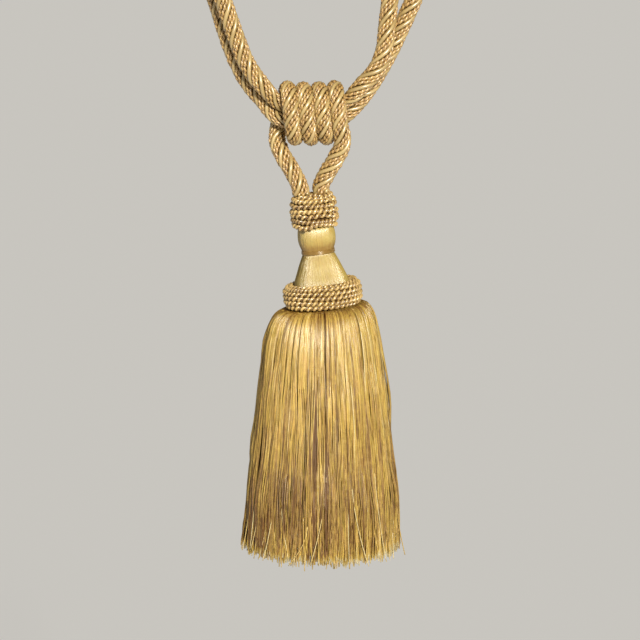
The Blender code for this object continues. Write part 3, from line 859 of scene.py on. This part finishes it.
def wound_cord(path, ply_radius, lay, chance):
    """The cord along a winding: its thick ply, the thin one between painted brown as the shade
    between the nubs, and its core painted near black as the shade inside.
    """
    middle = path[None]
    bends = len(path) // BEND_STATIONS
    uneven = lay * (1.0 + drift(chance, 1, len(path), UNEVEN_LAY, bends)[0])
    ply = plied(middle, 1, ply_radius * SPIRAL_SPREAD, -uneven)
    thin = plied(middle, 1, ply_radius * SPIRAL_SPREAD, -uneven, math.pi)
    tones = LIGHTER_PLY + drift(chance, 1, len(path), UNEVEN_TONE, bends)
    thickness = ply_radius * (1.0 + drift(chance, 1, len(path), UNEVEN_PLY, bends))
    return [Bundle(ply, thickness, 10, tones, "winding_ply"),
            # The thin ply, painted dark as the shade in the grooves between the thick ply's nubs
            Bundle(thin, ply_radius * WOUND_THIN_SHARE, 6, tones - LIGHTER_PLY, "winding_ply"),
            # The core, painted near black as the shade inside the cord
            Bundle(middle[:, ::2], ply_radius * WOUND_CORE_SHARE, 5, CORE_TONE, "core")]


def collar_tail():
    """The cord's end, drawn over the rows at the collar's right side and tucked in."""
    radius, down = outline_curve(COLLAR_OUTLINE, OUTLINE_STEP)
    course = np.linspace(0.0, 1.0, TAIL_STATIONS)
    below = TAIL_START + TAIL_LENGTH * course
    rise = TAIL_RISE * np.sin(math.pi * course) ** 0.5 - TAIL_TUCK
    around = np.interp(below, down, radius) + rise
    angle = np.radians(np.interp(course, (0.0, 1.0), TAIL_DEGREES))
    return leaning(np.column_stack([around * np.cos(angle), around * np.sin(angle), -below]))


def lining(outline, inset, finish="core"):
    """A closed body just inside an outline, swept down the leaning axis. With the core finish it is
    painted near black, as the shade between the rows.
    """
    radius, down = outline_curve(outline, LINING_STEP)
    axis = np.column_stack([np.zeros((len(down), 2)), -down])
    return Bundle(leaning(axis)[None], (radius - inset)[None], LINING_SIDES, CORE_TONE, finish)


class TIEBACK_OT_collar(bpy.types.Operator):
    """Winds the collar of twisted cord at the top of the tassel"""
    bl_idname = "tieback.collar"
    bl_label = "Collar"

    def execute(self, context):
        settings = context.scene.tieback_winding
        chance = np.random.default_rng(SEEDS["collar"])
        path = winding_path(COLLAR_OUTLINE, settings.collar_pitch, chance, COLLAR_WANDER)
        bundles = wound_cord(path, settings.collar_ply, settings.collar_lay, chance)
        bundles += wound_cord(collar_tail(), settings.collar_ply, settings.collar_lay, chance)
        bundles.append(lining(COLLAR_OUTLINE, LINING_INSET))
        dress(spun_mesh("collar_winding", bundles), "wound_cord", "collar")
        return {"FINISHED"}


class TIEBACK_OT_ruff(bpy.types.Operator):
    """Winds the thick ruff of twisted cord round the foot of the cone"""
    bl_idname = "tieback.ruff"
    bl_label = "Ruff"

    def execute(self, context):
        settings = context.scene.tieback_winding
        chance = np.random.default_rng(SEEDS["ruff"])
        path = winding_path(RUFF_OUTLINE, settings.ruff_pitch, chance, RUFF_WANDER)
        bundles = wound_cord(path, settings.ruff_ply, settings.ruff_lay, chance)
        bundles.append(lining(RUFF_CORE, LINING_INSET))
        dress(spun_mesh("ruff_winding", bundles), "wound_cord", "ruff")
        return {"FINISHED"}


# Head and waist tie

def head_thread_paths(settings, chance):
    """Threads drawn down over the ball, nipped in at the waist and spread over the cone."""
    radius, down = outline_curve(HEAD_OUTLINE, HEAD_STEP)
    count, stations = settings.threads, len(radius)
    sway = drift(chance, count, stations, HEAD_SWAY, bends=3)
    angle = TURN * np.arange(count)[:, None] / count + sway
    around = radius + drift(chance, count, stations, HEAD_PROUD, bends=4)
    return np.stack([around * np.cos(angle), around * np.sin(angle),
                     np.broadcast_to(-down, angle.shape)], axis=-1)


class TIEBACK_OT_head(bpy.types.Operator):
    """Covers the ball and the cone with fine satin threads"""
    bl_idname = "tieback.head"
    bl_label = "Head"

    def execute(self, context):
        settings = context.scene.tieback_head
        chance = np.random.default_rng(SEEDS["head"])
        paths = leaning(head_thread_paths(settings, chance))
        # Painted light and shade down the head: lighter on the ball's upper half, darker at its
        # foot and the waist
        shifts = np.interp(outline_curve(HEAD_OUTLINE, HEAD_STEP)[1] / MM, *HEAD_PAINTED_LIGHT_AND_SHADE)
        tones = chance.uniform(*SATIN_TONES, (settings.threads, 1)) + shifts
        bundles = [Bundle(paths, settings.thread_radius, 4, tones, "satin_thread"),
                   lining(HEAD_OUTLINE, -HEAD_PROUD, "satin_thread")]
        dress(spun_mesh("head_threads", bundles), "satin", "head")
        return {"FINISHED"}


class TIEBACK_OT_waist_tie(bpy.types.Operator):
    """Ties the thread round the waist"""
    bl_idname = "tieback.waist_tie"
    bl_label = "Waist tie"

    def execute(self, context):
        settings = context.scene.tieback_head
        chance = np.random.default_rng(SEEDS["waist_tie"])
        pitch = TIE_HEIGHT / settings.tie_turns
        path = winding_path(TIE_OUTLINE, pitch, chance, TIE_WANDER, TIE_STEP)
        bundles = [Bundle(path[None], settings.tie_radius, 6, TIE_TONE, "tie_thread")]
        dress(spun_mesh("waist_tie_winding", bundles), "tie", "waist_tie")
        return {"FINISHED"}


# Fringe

def fringe_profile(share):
    """Radius, height and lean of the fringe's outside, from 0 at the root to 1 at the hem."""
    profile = [(radius * MM, height * MM, 0.0, follow) for radius, height, follow in FRINGE_PROFILE]
    route = smooth_route(profile, OUTLINE_STEP)
    place = share * (len(route) - 1)
    return [np.interp(place, np.arange(len(route)), route[:, column]) for column in (0, 1, 3)]


def fringe_places(angle, reach, height, follow):
    """Places round the fringe's upright axis, whose top follows the leaning ruff."""
    tilt = math.tan(LEAN) * reach * np.cos(angle) * follow
    return np.stack([FRINGE_AXIS_X + reach * np.cos(angle), reach * np.sin(angle),
                     height + tilt], axis=-1)


def yarn_layer(count, stations, inmost, outmost, settings, chance):
    """Paths and tones of one layer, spread between two radii given as shares of the outside's."""
    depth = 1.0 - np.sqrt(chance.uniform(inmost ** 2, outmost ** 2, (count, 1)))
    share = np.append(np.interp(np.linspace(0.0, 1.0, stations - 1), *STATION_PLACES), 1.0)
    radius, height, follow = fringe_profile(share)
    home = (np.arange(count) + chance.uniform(-0.5, 0.5, count)) / count
    fine, fine_away = nearest_lock(home, settings.fine_locks, chance)
    broad, broad_away = nearest_lock(home, settings.locks, chance)
    angle = TURN * (home[:, None]
                    - fine_away * np.interp(share, *FINE_GATHERING)
                    - broad_away * np.interp(share, *BROAD_GATHERING)
                    + drift(chance, settings.locks, share, LOCK_SWAY, bends=3)[broad] * share
                    + drift(chance, count, share, YARN_SWAY, bends=6) * share)
    proud = (drift(chance, settings.locks, share, LOCK_PROUD, bends=4)[broad]
             + drift(chance, settings.fine_locks, share, FINE_PROUD, bends=4)[fine])
    crown = 1.0 - (broad_away * 2.0 * settings.locks) ** 2
    loose = np.interp(share, *LOOSENESS)
    reach = (radius * (1.0 - depth * np.interp(share, *DEPTHS))
             + (proud + LOCK_CROWN * crown.clip(-1.0, 1.0)) * loose
             + drift(chance, count, share, YARN_PROUD, bends=9) * loose)
    cut = chance.normal(0.0, settings.uneven_hem, count)[:, None] * share ** 3
    tones = (yarn_tones(count, chance)[:, None]
             + drift(chance, settings.locks, share, LOCK_TONE, bends=3)[broad]
             + drift(chance, settings.fine_locks, share, FINE_TONE, bends=3)[fine]
             + drift(chance, count, share, YARN_TONE, bends=10)
             # Painted shade on one side of the skirt, deeper towards the hem
             - PAINTED_SHADE_DEPTH * share * np.cos(TURN * home[:, None] - PAINTED_SHADE_SIDE)
             # Painted shade at the root and down the length, a painted highlight on the shoulder,
             # and the pale cut tip
             + np.interp(share, TONE_PLACES, PAINTED_LIGHT_AND_TIP_SHIFTS))
    return fringe_places(angle, reach, height + cut, follow), tones


def nearest_lock(home, locks, chance):
    """The lock that each yarn gathers in, and how far from its middle the yarn starts."""
    places = (np.arange(locks) + chance.uniform(-0.4, 0.4, locks)) / locks
    gap = (home[:, None] - places + 0.5) % 1.0 - 0.5
    lock = np.abs(gap).argmin(axis=1)
    return lock, gap[np.arange(len(home)), lock][:, None]


def yarn_tones(count, chance):
    """Most yarns are gold, some cream and some brown."""
    tones = chance.normal(*GOLD_TONE, count)
    pick = chance.uniform(0.0, 1.0, count)
    tones[pick < BROWN_UP_TO] -= BROWNER
    tones[pick > CREAM_FROM] += CREAMIER
    return tones


def stray_yarns(settings, chance):
    """Loose yarns that cross the others on the way down and end past the hem."""
    count = settings.strays
    course = np.linspace(0.0, 1.0, STRAY_STATIONS)
    start = chance.uniform(*STRAY_START, count)[:, None]
    radius, height, follow = fringe_profile(start + (1.0 - start) * course)
    slant = chance.normal(0.0, STRAY_SLANT, count)[:, None]
    slant = slant * (STRAY_STRAIGHT - start) * STRAY_GROWTH
    angle = (TURN * chance.uniform(0.0, 1.0, count)[:, None] + slant * course ** STRAY_POWER
             + drift(chance, count, STRAY_STATIONS, STRAY_SWAY, bends=1))
    away = STRAY_CLEAR + chance.uniform(0.0, STRAY_AWAY, count)[:, None] * course ** 2
    past = chance.uniform(*STRAY_PAST, count)[:, None] * course
    return fringe_places(angle, radius + away, height - past, follow)


class TIEBACK_OT_fringe(bpy.types.Operator):
    """Hangs the skirt: outer layers gathered in locks, the fill inside them, and strays"""
    bl_idname = "tieback.fringe"
    bl_label = "Fringe"

    def execute(self, context):
        settings = context.scene.tieback_fringe
        chance = np.random.default_rng(SEEDS["fringe"])
        for name, layers in FRINGE_LAYERS.items():
            bundles = []
            for count, stations, sides, thickness, inmost, outmost, lighter in layers:
                paths, tones = yarn_layer(count, stations, inmost, outmost, settings, chance)
                # lighter: painted light on the under layers, against the shade they lie in
                bundles.append(Bundle(paths, settings.yarn_radius * thickness, sides,
                                      tones + lighter, "fringe_yarn"))
            dress(spun_mesh(name, bundles), "fringe", "skirt")
        strays = stray_yarns(settings, chance)
        tones = chance.uniform(*STRAY_TONES, len(strays))
        bundle = Bundle(strays, settings.yarn_radius * STRAY_SHARE, 4, tones, "fringe_yarn")
        dress(spun_mesh("fringe_strays", [bundle]), "fringe", "skirt")
        return {"FINISHED"}


# Stage

def aimed(thing, place, target):
    """Puts a light or the camera at a place, looking at a target."""
    thing.location = place
    away = tuple(here - there for here, there in zip(place, target))
    yaw = math.atan2(away[0], -away[1])
    pitch = math.atan2(away[2], math.hypot(away[0], away[1]))
    thing.rotation_euler = (math.pi / 2.0 - pitch, 0.0, yaw)


def new_light(name, kind, place, energy, colour, width):
    """A light that shows only by what it lights."""
    data = bpy.data.lights.new(name, kind)
    data.energy = energy
    data.color = colour
    if kind == "SUN":
        data.angle = math.radians(width)
    else:
        data.size = width
    light = bpy.data.objects.new(name, data)
    light.visible_camera = False
    bpy.context.scene.collection.objects.link(light)
    aimed(light, place, LIT_PLACE)


def studio_world(wall_colour):
    """A dim room for the light, whose far walls look as pale as the floor."""
    world = bpy.data.worlds.new("studio")
    world.use_nodes = True
    tree = world.node_tree
    room = tree.nodes["Background"]
    feed_all(tree, room, {"Color": ROOM_COLOUR, "Strength": ROOM_STRENGTH})
    wall = new_node(tree, "ShaderNodeBackground")
    feed_all(tree, wall, {"Color": (*wall_colour, 1.0)})
    path = new_node(tree, "ShaderNodeLightPath")
    seen = new_node(tree, "ShaderNodeMixShader")
    for socket, value in zip(seen.inputs, (path.outputs["Is Camera Ray"], room.outputs[0],
                                           wall.outputs[0])):
        feed(tree, socket, value)
    feed_all(tree, tree.nodes["World Output"], {"Surface": seen.outputs[0]})
    return world


class TIEBACK_OT_stage(bpy.types.Operator):
    """Sets up the camera, the pale floor and the soft lights"""
    bl_idname = "tieback.stage"
    bl_label = "Stage"

    def execute(self, context):
        settings = context.scene.tieback_stage
        target = tuple(settings.target)
        lens = bpy.data.cameras.new("camera")
        lens.lens = settings.lens
        lens.sensor_width = SENSOR_WIDTH
        lens.clip_end = SIGHT
        camera = bpy.data.objects.new("camera", lens)
        context.scene.collection.objects.link(camera)
        aimed(camera, (target[0],
                       target[1] - settings.distance * math.cos(settings.elevation),
                       target[2] + settings.distance * math.sin(settings.elevation)), target)
        context.scene.camera = camera
        bpy.ops.mesh.primitive_plane_add(size=FLOOR_SIZE,
                                         location=(0.0, 0.0, settings.floor_height))
        floor = context.object
        floor.name = "floor"
        floor.data.materials.append(floor_material(settings.floor_colour))
        for name, facts in LIGHTS.items():
            new_light(name, *facts)
        bpy.data.objects["back"].visible_glossy = False
        context.scene.world = studio_world(settings.wall_colour)
        context.scene.view_settings.view_transform = "Standard"
        return {"FINISHED"}


class TIEBACK_PT_panel(bpy.types.Panel):
    """Buttons and sizes for each part of the tieback"""
    bl_label = "Tieback"
    bl_idname = "TIEBACK_PT_panel"
    bl_space_type = "VIEW_3D"
    bl_region_type = "UI"
    bl_category = "Tieback"

    def draw(self, context):
        for name, group, operators in SECTIONS:
            box = self.layout.box()
            for key in group.__annotations__:
                box.prop(getattr(context.scene, name), key)
            for operator in operators:
                box.operator(operator.bl_idname)


# What the panel shows: settings, and the buttons under them
SECTIONS = (
    ("tieback_stage", StageSettings, (TIEBACK_OT_stage,)),
    ("tieback_dye", DyeSettings, ()),
    ("tieback_rope", RopeSettings, (TIEBACK_OT_ropes,)),
    ("tieback_winding", WindingSettings, (TIEBACK_OT_collar, TIEBACK_OT_ruff)),
    ("tieback_head", HeadSettings, (TIEBACK_OT_head, TIEBACK_OT_waist_tie)),
    ("tieback_fringe", FringeSettings, (TIEBACK_OT_fringe,)),
)


def register():
    """Adds the settings, the operators and the panel."""
    for name, group, operators in SECTIONS:
        bpy.utils.register_class(group)
        setattr(bpy.types.Scene, name, PointerProperty(type=group))
        for operator in operators:
            bpy.utils.register_class(operator)
    bpy.utils.register_class(TIEBACK_PT_panel)


def unregister():
    """Takes them away again."""
    bpy.utils.unregister_class(TIEBACK_PT_panel)
    for name, group, operators in reversed(SECTIONS):
        for operator in reversed(operators):
            bpy.utils.unregister_class(operator)
        delattr(bpy.types.Scene, name)
        bpy.utils.unregister_class(group)


def main():
    """Builds everything in order."""
    register()
    bpy.ops.tieback.stage()
    bpy.ops.tieback.ropes()
    bpy.ops.tieback.collar()
    bpy.ops.tieback.ruff()
    bpy.ops.tieback.head()
    bpy.ops.tieback.waist_tie()
    bpy.ops.tieback.fringe()


if __name__ == "__main__":
    main()
